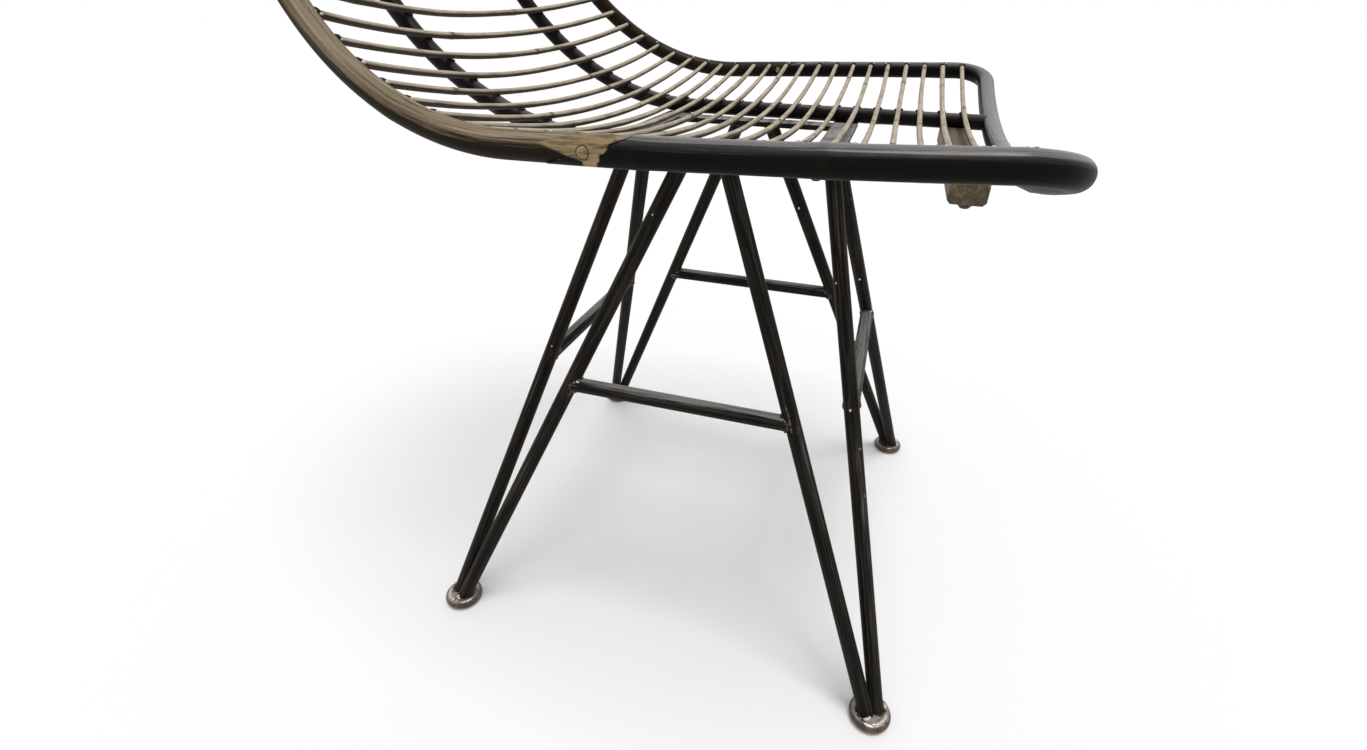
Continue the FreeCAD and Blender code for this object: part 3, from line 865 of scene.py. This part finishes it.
def weld_metal(colours, name, bright):
    """Weld metal, bare and pale or under the black lacquer."""
    finish = Finish(name)
    place = finish.place()
    cloud = finish.cloud(place, 520.0, 5.0, 0.65)
    if bright:
        first, second, metal, rough = (0.32, 0.28, 0.2), colours.weld, 0.45, 0.3
    else:
        first, second, metal, rough = colours.lacquer, colours.burnished, 0.35, 0.36
    low, high = (0.36, 0.52) if bright else (0.5, 0.68)
    base = finish.mix(finish.smooth(cloud, low, high), first, second)
    return finish.finish(base, rough + cloud * 0.2, cloud, 0.5 * MM, metal)


def putty_white(colours):
    """Dried glue and putty: chalky, a little dirty."""
    finish = Finish("dried_putty")
    cloud = finish.cloud(finish.place(), 420.0, 4.0, 0.6)
    base = finish.mix(finish.smooth(cloud, 0.45, 0.7), colours.putty, colours.stain_worn)
    return finish.finish(base, 0.55 + cloud * 0.2, cloud, 0.3 * MM)


def glue_black(colours):
    """Glue under lacquer, with pale spots where it broke through."""
    finish = Finish("lacquered_glue")
    place = finish.place()
    cloud = finish.cloud(place, 330.0, 4.0, 0.6)
    spots = finish.smooth(finish.cloud(place, 620.0, 3.0, 0.5), 0.66, 0.71)
    base = finish.mix(finish.smooth(cloud, 0.45, 0.7), colours.lacquer, colours.stain)
    base = finish.mix(spots * 0.8, base, colours.putty)
    return finish.finish(base, 0.3 + cloud * 0.2, cloud, 0.4 * MM, specular=0.08)


def brace_wood(colours):
    """Sawn hardwood: grain along X, golden streaks and pale strips along its top edges."""
    finish = Finish("stained_hardwood")
    place = finish.place()
    grain = finish.cloud(finish.stretch(place, (0.05, 1.0, 1.0)), 650.0, 6.0, 0.65)
    bands = finish.cloud(finish.stretch(place, (0.03, 1.0, 1.0)), 200.0, 3.0, 0.5)
    base = finish.ramp(
        bands * 0.5 + grain * 0.5,
        [(0.34, (0.028, 0.017, 0.009)), (0.5, tuple(colours.brace)), (0.68, (0.2, 0.135, 0.06))],
    )
    low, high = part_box("front_brace")
    y, z = finish.axes(place)[1:]
    half = (high.y - low.y) / 2
    rim = finish.smooth(abs(y - (low.y + high.y) / 2), half - 2.2 * MM, half - 0.6 * MM)
    rim = rim * finish.smooth(z, high.z - 5.0 * MM, high.z - 2.0 * MM)
    base = finish.mix(rim * finish.smooth(grain, 0.4, 0.55) * 0.8, base, (0.4, 0.3, 0.2))
    return finish.finish(base, 0.42 + grain * 0.25, grain + bands, 0.25 * MM)


def dowel_wood(colours):
    """End grain of the splice dowels, with filler rubbed over it."""
    finish = Finish("dowel_end_grain")
    place = finish.place()
    y, z = finish.axes(place)[1:]
    centre = splice(1)[0]
    rings = finish.cloud(place, 900.0, 4.0, 0.7)
    spread = ((y - centre.y) ** 2.0 + (z - centre.z) ** 2.0) ** 0.5
    edge = finish.smooth(spread, DOWEL_RADIUS - 0.5 * MM, DOWEL_RADIUS)
    dark = finish.smooth(rings, 0.4, 0.65)
    base = finish.mix(dark, colours.filler, shade(colours.filler, 0.5))
    base = finish.mix(edge * 0.75, base, colours.stain)
    return finish.finish(base, 0.5 + rings * 0.2, rings, 0.2 * MM)


def screw_steel(colours):
    """Black oxide with rubbed edges."""
    finish = Finish("black_oxide")
    cloud = finish.cloud(finish.place(), 600.0, 4.0, 0.6)
    base = finish.mix(finish.smooth(cloud, 0.5, 0.7), colours.lacquer, (0.16, 0.15, 0.14))
    return finish.finish(base, 0.35 + cloud * 0.25, cloud, 0.2 * MM, 0.6)


def dress(node, material):
    """Gives a CAD node its material."""
    mesh = NODES[node].data
    if mesh.materials:
        for number in range(len(mesh.materials)):
            mesh.materials[number] = material
    else:
        mesh.materials.append(material)


def crossbar_ends(node):
    """Both ends of a crossbar's centre line, from its box."""
    low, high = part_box(node)
    size = high - low
    axis = 0 if size.x > size.y else 1
    ends = []
    for edge in (low[axis], high[axis]):
        point = (low + high) / 2
        point[axis] = edge
        ends.append(point)
    return ends


def leg_ends(node):
    """Both ends of a leg bar's centre line, from the middles of its level end faces."""
    low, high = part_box(node)
    ends = []
    for level in (low.z, high.z):
        near = [v.co for v in NODES[node].data.vertices if abs(v.co.z - level) < END_SLACK]
        ends.append(sum(near, Vector()) / len(near))
    return ends


SIDES = ("right", "left")
ENDS = ("front", "back")
LEGS = [f"side_leg_{end}_{side}" for end in ENDS for side in SIDES]
LEGS += [f"{end}_leg_{side}" for end in ENDS for side in SIDES]
CROSSBARS = {
    "crossbar_right": ("side_leg_front_right", "side_leg_back_right"),
    "crossbar_left": ("side_leg_front_left", "side_leg_back_left"),
    "crossbar_front": ("front_leg_right", "front_leg_left"),
    "crossbar_back": ("back_leg_right", "back_leg_left"),
}


class ChairOperator:
    """What the chair's operators share."""

    bl_options = {"REGISTER", "UNDO"}

    @property
    def colours(self):
        """Colours as plain tuples, by name."""
        group = bpy.context.scene.chair_colours
        return type("Colours", (), {key: tuple(getattr(group, key)) for key in ChairColours.__annotations__})

    @property
    def details(self):
        """The sizes of the small details."""
        return bpy.context.scene.chair_details


class CHAIR_OT_rims(ChairOperator, bpy.types.Operator):
    """Bends the two rim poles, with knots, grain and slanted splices"""

    bl_idname = "chair.rims"
    bl_label = "Bend the rims"

    def execute(self, context):
        left = [rail_point(share) for share in steps(0, 1, 90)]
        left += [side_point(run) for run in steps(CORNER_END_RUN, SPLICE_RUN + SPLICE_OVERLAP, 60)[1:]]
        front = mirrored(left[:0:-1]) + left
        left = [side_point(run) for run in steps(SPLICE_RUN - SPLICE_OVERLAP, TOP_START_RUN, 150)]
        left += [top_point(share) for share in steps(0, 1, 60)[1:]]
        back = left + mirrored(left[-2::-1])
        lacquered = cane_spliced(self.colours, "rim_lacquer", stained=False)
        stained = cane_spliced(self.colours, "rim_stain", stained=True)
        self.rim("rim_front", front, FRONT_RIM_KNOTS, 1, 1.3, lacquered, "rim_black")
        self.rim("rim_back", back, BACK_RIM_KNOTS, -1, 7.9, stained, "rim_brown")
        return {"FINISHED"}

    def rim(self, node, line, knots, cut_side, seed, material, slot):
        """One rim pole, cut off on one side of both splice planes."""
        cuts = []
        for side in (-1, 1):
            centre, normal = splice(side)
            cuts.append((centre, normal * cut_side))
        parts = MeshParts()
        swell = self.details.knot_swell * 0.5
        cane(parts, line, RIM_RADIUS, 40, knots, swell, POLE_WANDER, seed, cuts)
        parts.piece(f"{node}_cane", material, slot, (node,))


class CHAIR_OT_dowels(ChairOperator, bpy.types.Operator):
    """Sets the dowel ends into the splices, rubbed level with the rim"""

    bl_idname = "chair.dowels"
    bl_label = "Set the dowels"

    def execute(self, context):
        parts = MeshParts()
        for side in (-1, 1):
            centre = splice(side)[0]
            rings, sides = 7, 32
            points = []
            for face in (-1, 1):
                for ring in range(rings + 1):
                    reach = DOWEL_RADIUS * ring / rings
                    for number in range(sides):
                        angle = 2 * math.pi * number / sides
                        up = reach * math.sin(angle)
                        out = math.sqrt(RIM_RADIUS ** 2 - up ** 2) + 0.12 * MM * (1 - (ring / rings) ** 4)
                        points.append(centre + Vector((face * out, reach * math.cos(angle), up)))
            faces = []
            for face in (0, 1):
                first = face * (rings + 1) * sides
                for ring in range(rings):
                    for number in range(sides):
                        here = first + ring * sides + number
                        beside = first + ring * sides + (number + 1) % sides
                        quad = (here, beside, beside + sides, here + sides)
                        faces.append(quad if face == 0 else quad[::-1])
            last = rings * sides
            other = (2 * rings + 1) * sides
            for number in range(sides):
                beside = (number + 1) % sides
                faces.append((last + number, last + beside, other + beside, other + number))
            parts.add(points, faces)
        parts.piece("splice_dowel_ends", dowel_wood(self.colours), "dowel_tan", ("splice_dowels",))
        return {"FINISHED"}


class CHAIR_OT_poles(ChairOperator, bpy.types.Operator):
    """Bends the two poles under the seat and behind the back"""

    bl_idname = "chair.poles"
    bl_label = "Bend the poles"

    def execute(self, context):
        material = cane_black(self.colours)
        line = [pole_point(run) for run in steps(FRONT_RUN, POLE_END_RUN, 220)]
        swell = self.details.knot_swell * 0.6
        for side, name, knots in ((1, "left", LEFT_POLE_KNOTS), (-1, "right", RIGHT_POLE_KNOTS)):
            parts = MeshParts()
            path = line if side > 0 else mirrored(line)
            cane(parts, path, POLE_RADIUS, 32, knots, swell, POLE_WANDER, 2.0 + side)
            parts.piece(f"pole_{name}_cane", material, "pole_black", (f"pole_{name}",))
        return {"FINISHED"}


class CHAIR_OT_rods(ChairOperator, bpy.types.Operator):
    """Lays the cane rods across the seat and the back"""

    bl_idname = "chair.rods"
    bl_label = "Lay the rods"

    def execute(self, context):
        material = cane_rod(self.colours)
        runs = rod_runs()
        swell, wander = self.details.knot_swell * 1.6, self.details.rod_wander
        groups = [(f"seat_rod_{number + 1:02d}", [runs[number]]) for number in range(SEAT_RODS)]
        back = runs[SEAT_RODS:]
        for number in range(0, BACK_RODS, 2):
            groups.append((f"back_rods_{number // 2 + 1:02d}", back[number:number + 2]))
        for name, members in groups:
            parts = MeshParts()
            for run in members:
                seed = run * 97.0
                line = rod_line(run)
                first = chance(seed, 0.03, 0.16)
                gap = chance(seed + 1.0, 0.13, 0.21)
                knots = [first + gap * number for number in range(ROD_KNOTS)]
                size = ROD_RADIUS * chance(seed + 2.0, 0.94, 1.06)
                cane(parts, line, size, 14, knots, swell, wander, seed)
            parts.piece(f"{name}_cane", material, "rod_cane", (name,))
        return {"FINISHED"}


class CHAIR_OT_glue(ChairOperator, bpy.types.Operator):
    """Adds the glue where the rods cross the poles and the putty at their ends"""

    bl_idname = "chair.glue"
    bl_label = "Glue the rods"

    def execute(self, context):
        glue, putty = MeshParts(), MeshParts()
        size = self.details.putty_size
        for number, run in enumerate(rod_runs()):
            ahead = (in_section(run + MM, 0, 0) - in_section(run - MM, 0, 0)).normalized()
            inward = (in_section(run, 0, 0) - in_section(run, 0, MM)).normalized()
            cross = Vector((1, 0, 0))
            for side in (-1, 1):
                seed = number * 3.1 + side
                pole = pole_point(run)
                pole.x *= side
                for way in (-1, 1):
                    grow = chance(seed + way * 0.37, 0.5, 1.0)
                    spot = pole + inward * (POLE_RADIUS + 0.2 * MM) + ahead * way * (ROD_RADIUS + 0.2 * MM)
                    axes = (cross * 3.0 * MM * grow, ahead * 1.5 * MM * grow, inward * 1.1 * MM * grow)
                    lump(glue, spot, axes, seed + way)
                rim = side_point(run, side)
                rim += inward * RIM_GLUE_RISE - cross * side * RIM_GLUE_INSET
                if run < TOP_START_RUN:
                    axes = (cross * 2.6 * MM, ahead * 2.5 * MM, inward * 1.3 * MM)
                    lump(glue, rim, axes, seed + 9.0)
                    if chance(seed + 5.0) > 0.35:
                        way = 1 if chance(seed + 6.0) > 0.6 else -1
                        spot = rim + ahead * way * 2.6 * MM + inward * 0.9 * MM
                        grow = chance(seed + 7.0, 0.5, 1.1)
                        axes = (cross * size * grow, ahead * size * 0.8 * grow, inward * size * 0.6 * grow)
                        lump(putty, spot, axes, seed + 11.0)
        glue.piece("rod_glue", glue_black(self.colours), "pole_black")
        putty.piece("rod_putty", putty_white(self.colours), "rod_cane")
        return {"FINISHED"}


class CHAIR_OT_bars(ChairOperator, bpy.types.Operator):
    """Lacquers the leg bars and crossbars, with streaks along each bar"""

    bl_idname = "chair.bars"
    bl_label = "Lacquer the bars"

    def execute(self, context):
        colours = self.colours
        joints = {name: [] for name in LEGS}
        for bar, legs in CROSSBARS.items():
            ends = crossbar_ends(bar)
            for end, leg in zip(ends, legs):
                joints[leg].append(end)
            dress(bar, bar_steel(colours, f"{bar}_lacquer", *ends, ends))
        for number, leg in enumerate(LEGS):
            low, high = leg_ends(leg)
            brown = chance(number + 0.5, -0.12, 0.12)
            dress(leg, bar_steel(colours, f"{leg}_lacquer", low, high, joints[leg] + [high], brown))
        return {"FINISHED"}


class CHAIR_OT_head_frame(ChairOperator, bpy.types.Operator):
    """Finishes the plates, side rails, screws and wooden brace under the seat"""

    bl_idname = "chair.head_frame"
    bl_label = "Finish the head frame"

    def execute(self, context):
        flat = plate_steel(self.colours)
        for node in ("seat_plate_front", "seat_plate_back", "side_rail_right", "side_rail_left"):
            dress(node, flat)
        screws = screw_steel(self.colours)
        dress("plate_screws", screws)
        dress("brace_screws", screws)
        dress("front_brace", brace_wood(self.colours))
        return {"FINISHED"}


class CHAIR_OT_feet(ChairOperator, bpy.types.Operator):
    """Patinates the round feet"""

    bl_idname = "chair.feet"
    bl_label = "Finish the feet"

    def execute(self, context):
        material = foot_bronze(self.colours)
        for end in ENDS:
            for side in SIDES:
                dress(f"foot_{end}_{side}", material)
        return {"FINISHED"}


def level_ring(low, high, height, radius, count=28):
    """Ring round a slanting bar where it passes a height."""
    ahead = (high - low).normalized()
    centre = low + ahead * ((height - low.z) / ahead.z)
    across = ahead.orthogonal().normalized()
    other = ahead.cross(across)
    ring = []
    for angle in steps(0, 2 * math.pi, count)[:-1]:
        spoke = (across * math.cos(angle) + other * math.sin(angle)) * radius
        ring.append(centre + spoke - ahead * (spoke.z / ahead.z))
    return ring


def saddle_ring(start, ahead, leg_low, leg_high, radius, count=28):
    """Ring where a crossbar meets the side of a leg bar of the same radius."""
    across = ahead.orthogonal().normalized()
    other = ahead.cross(across)
    leg = (leg_high - leg_low).normalized()
    side = ahead - leg * ahead.dot(leg)
    ring = []
    for angle in steps(0, 2 * math.pi, count)[:-1]:
        spoke = (across * math.cos(angle) + other * math.sin(angle)) * radius
        point = start - ahead * 4 * radius + spoke
        reach = point - leg_low
        reach = reach - leg * reach.dot(leg)
        a, b = side.dot(side), 2 * side.dot(reach)
        c = reach.dot(reach) - (1.02 * radius) ** 2
        ring.append(point + ahead * ((-b - math.sqrt(max(b * b - 4 * a * c, 0.0))) / (2 * a)))
    return ring


class CHAIR_OT_welds(ChairOperator, bpy.types.Operator):
    """Adds the weld beads between bars, feet and plates"""

    bl_idname = "chair.welds"
    bl_label = "Weld the base"

    def execute(self, context):
        dark, bright = MeshParts(), MeshParts()
        for number, leg in enumerate(LEGS):
            self.leg(dark, bright, number, leg)
        for bar, legs in CROSSBARS.items():
            ends = crossbar_ends(bar)
            centre = (ends[0] + ends[1]) / 2
            for end, leg in zip(ends, legs):
                self.joint(dark, bright, centre, end, leg)
        dark.piece("weld_beads", weld_metal(self.colours, "lacquered_weld", bright=False), "bar_black")
        bright.piece("weld_spatter", weld_metal(self.colours, "bare_weld", bright=True), "foot_bronze")
        return {"FINISHED"}

    def leg(self, dark, bright, number, leg):
        """Beads round a leg bar at its plate and its foot, with bare drops on the foot."""
        size = self.details.weld_size
        low, high = leg_ends(leg)
        bead(dark, level_ring(low, high, PLATE_BOTTOM, BAR_RADIUS), size, number * 1.7)
        bead(dark, level_ring(low, high, FLOOR_TO_FOOT_TOP, BAR_RADIUS), size * 0.8, number * 2.3)
        end = ENDS["back" in leg]
        side = SIDES["left" in leg]
        foot = middle(f"foot_{end}_{side}")
        out = Vector((foot.x, foot.y - BASE_Y, 0)).normalized()
        handed = 1 if (foot.x < 0) == (end == "front") else -1
        of_side = leg.startswith("side")
        turn = SIDE_LEG_DROP_TURN if of_side else END_LEG_DROP_TURN
        way = Matrix.Rotation(handed * turn, 3, "Z") @ out
        cross = way.cross(UP)
        spot = low + way * (BAR_RADIUS + 0.4 * MM)
        spot.z = FLOOR_TO_FOOT_TOP + 0.9 * MM
        for drop, share in enumerate((1.0, 0.6) if of_side else (0.8,)):
            seed = number * 7.0 + drop
            aside = handed * drop * 2.6 + chance(seed, -0.3, 0.3)
            place = spot + cross * aside * MM + UP * drop * 1.1 * MM
            grow = share * MM
            axes = (way * 1.7 * grow, cross * 2.5 * grow, UP * 2.0 * grow)
            lump(bright, place, axes, seed, rough=0.6, rings=10, sides=16)
        if of_side:
            self.crescent(bright, foot, math.atan2(out.y, out.x), handed, number + 0.2)

    def crescent(self, bright, foot, middle_angle, handed, seed):
        """Bare metal along the outer edge of a foot's flat top."""
        first, last = (middle_angle + handed * turn for turn in CRESCENT_TURNS)
        edge = []
        for angle in steps(first, last, 18):
            spoke = Vector((math.cos(angle), math.sin(angle), 0)) * CRESCENT_RADIUS
            edge.append(Vector((foot.x, foot.y, FLOOR_TO_FOOT_TOP)) + spoke)
        inner = [point + (foot - point).normalized() * 0.9 * MM for point in edge[::-1]]
        bead(bright, edge + inner, 0.8 * MM, seed, rough=0.5, sides=8)

    def joint(self, dark, bright, centre, end, leg):
        """Bead round a crossbar's end, with a bare drop on its outer side."""
        low, high = leg_ends(leg)
        ahead = (end - centre).normalized()
        ring = saddle_ring(end, ahead, low, high, BAR_RADIUS)
        bead(dark, ring, self.details.weld_size, end.x * 90 + end.y * 40)
        face = Vector((centre.x, centre.y - BASE_Y, 0)).normalized()
        spot = end - ahead * (BAR_RADIUS + 1.6 * MM) + (UP * 0.8 + face * 0.55) * BAR_RADIUS
        lump(bright, spot, (ahead * 1.7 * MM, UP * 0.9 * MM, face * 1.0 * MM), end.y * 70, rough=0.6)


class CHAIR_OT_stage(ChairOperator, bpy.types.Operator):
    """Sets the floor, the light and the camera at the photograph's viewpoint"""

    bl_idname = "chair.stage"
    bl_label = "Set the stage"

    def execute(self, context):
        scene = bpy.context.scene
        setting = scene.chair_stage
        self.floor(setting)
        self.lamp(setting)
        self.world(setting)
        self.camera(scene)
        scene.view_settings.view_transform = "Standard"
        return {"FINISHED"}

    def floor(self, setting):
        """Large pale floor."""
        mesh = bpy.data.meshes.new("floor")
        corners = [(x * FLOOR_REACH, y * FLOOR_REACH, 0) for x, y in ((-1, -1), (1, -1), (1, 1), (-1, 1))]
        mesh.from_pydata(corners, [], [(0, 1, 2, 3)])
        floor = bpy.data.objects.new("floor", mesh)
        bpy.context.scene.collection.objects.link(floor)
        finish = Finish("pale_floor")
        mottle = finish.cloud(finish.place(), 3.0, 3.0)
        floor_colour = tuple(setting.floor_colour)
        base = finish.mix(mottle * 0.3, floor_colour, shade(floor_colour, 0.98))
        seen = finish.node("ShaderNodeLightPath", output=0)
        glow = finish.mix(seen * FLOOR_GLOW, (0, 0, 0), (1, 1, 1))
        finish.feed(finish.shader.inputs["Emission Color"], glow)
        finish.shader.inputs["Emission Strength"].default_value = 1.0
        mesh.materials.append(finish.finish(base, 0.8, specular=0.2))

    def lamp(self, setting):
        """Soft key light from almost straight above."""
        data = bpy.data.lights.new("key_light", "SUN")
        data.energy = setting.key_light
        data.angle = setting.key_softness
        lamp = bpy.data.objects.new("key_light", data)
        lamp.rotation_euler = LAMP_AIM.to_track_quat("-Z", "Y").to_euler()
        bpy.context.scene.collection.objects.link(lamp)

    def world(self, setting):
        """Even light from all round, white where the camera or a gloss sees it."""
        world = bpy.data.worlds.new("studio")
        world.use_nodes = True
        tree = world.node_tree
        bpy.context.scene.world = world
        background = tree.nodes["Background"]
        background.inputs["Color"].default_value = (1, 1, 1, 1)
        rays = tree.nodes.new("ShaderNodeLightPath")
        seen = Wire(tree, rays.outputs["Is Camera Ray"])
        gloss = Wire(tree, rays.outputs["Is Glossy Ray"])
        through = Wire(tree, rays.outputs["Is Transmission Ray"])
        share = seen.most(gloss).most(through)
        power = setting.world_light + share * (1 - setting.world_light)
        tree.links.new(power.socket, background.inputs["Strength"])

    def camera(self, scene):
        """Camera solved from the photograph: place, aim, lens and shift."""
        width, height = PHOTO_SIZE
        place = CAMERA_PLACE + Vector((0, BASE_Y, 0))
        yaw, pitch, roll = CAMERA_TURNS
        ahead = Vector((math.cos(yaw) * math.cos(pitch), math.sin(yaw) * math.cos(pitch), math.sin(pitch)))
        right = ahead.cross(UP).normalized()
        down = ahead.cross(right)
        across = right * math.cos(roll) + down * math.sin(roll)
        below = down * math.cos(roll) - right * math.sin(roll)
        data = bpy.data.cameras.new("photo_camera")
        data.sensor_width = 36.0
        data.lens = FOCAL_PX / width * data.sensor_width
        data.shift_x = (width / 2 - CENTRE_PX[0]) / width
        data.shift_y = (CENTRE_PX[1] - height / 2) / width
        data.clip_start, data.clip_end = 0.01, 50.0
        camera = bpy.data.objects.new("photo_camera", data)
        turn = Matrix((across, -below, -ahead)).transposed()
        camera.matrix_world = Matrix.Translation(place) @ turn.to_4x4()
        scene.collection.objects.link(camera)
        scene.camera = camera


class CHAIR_PT_panel(bpy.types.Panel):
    """Lists the chair's pieces and settings"""

    bl_label = "Rattan rod chair"
    bl_space_type = "VIEW_3D"
    bl_region_type = "UI"
    bl_category = "Chair"

    def draw(self, context):
        for operator in OPERATORS:
            self.layout.operator(operator.bl_idname)
        for group in (context.scene.chair_colours, context.scene.chair_details, context.scene.chair_stage):
            box = self.layout.box()
            for key in type(group).__annotations__:
                box.prop(group, key)


OPERATORS = (
    CHAIR_OT_stage,
    CHAIR_OT_rims,
    CHAIR_OT_dowels,
    CHAIR_OT_poles,
    CHAIR_OT_rods,
    CHAIR_OT_glue,
    CHAIR_OT_bars,
    CHAIR_OT_head_frame,
    CHAIR_OT_feet,
    CHAIR_OT_welds,
)
GROUPS = {"chair_colours": ChairColours, "chair_details": ChairDetails, "chair_stage": ChairStage}


def register():
    """Registers the settings, operators and panel."""
    for name, group in GROUPS.items():
        bpy.utils.register_class(group)
        setattr(bpy.types.Scene, name, bpy.props.PointerProperty(type=group))
    for operator in OPERATORS:
        bpy.utils.register_class(operator)
    bpy.utils.register_class(CHAIR_PT_panel)


def unregister():
    """Takes them out again."""
    bpy.utils.unregister_class(CHAIR_PT_panel)
    for operator in reversed(OPERATORS):
        bpy.utils.unregister_class(operator)
    for name, group in reversed(list(GROUPS.items())):
        delattr(bpy.types.Scene, name)
        bpy.utils.unregister_class(group)


def main():
    """Builds the whole chair."""
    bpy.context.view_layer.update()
    register()
    bpy.ops.chair.stage()
    bpy.ops.chair.rims()
    bpy.ops.chair.dowels()
    bpy.ops.chair.poles()
    bpy.ops.chair.rods()
    bpy.ops.chair.glue()
    bpy.ops.chair.bars()
    bpy.ops.chair.head_frame()
    bpy.ops.chair.feet()
    bpy.ops.chair.welds()


if __name__ == "__main__":
    main()
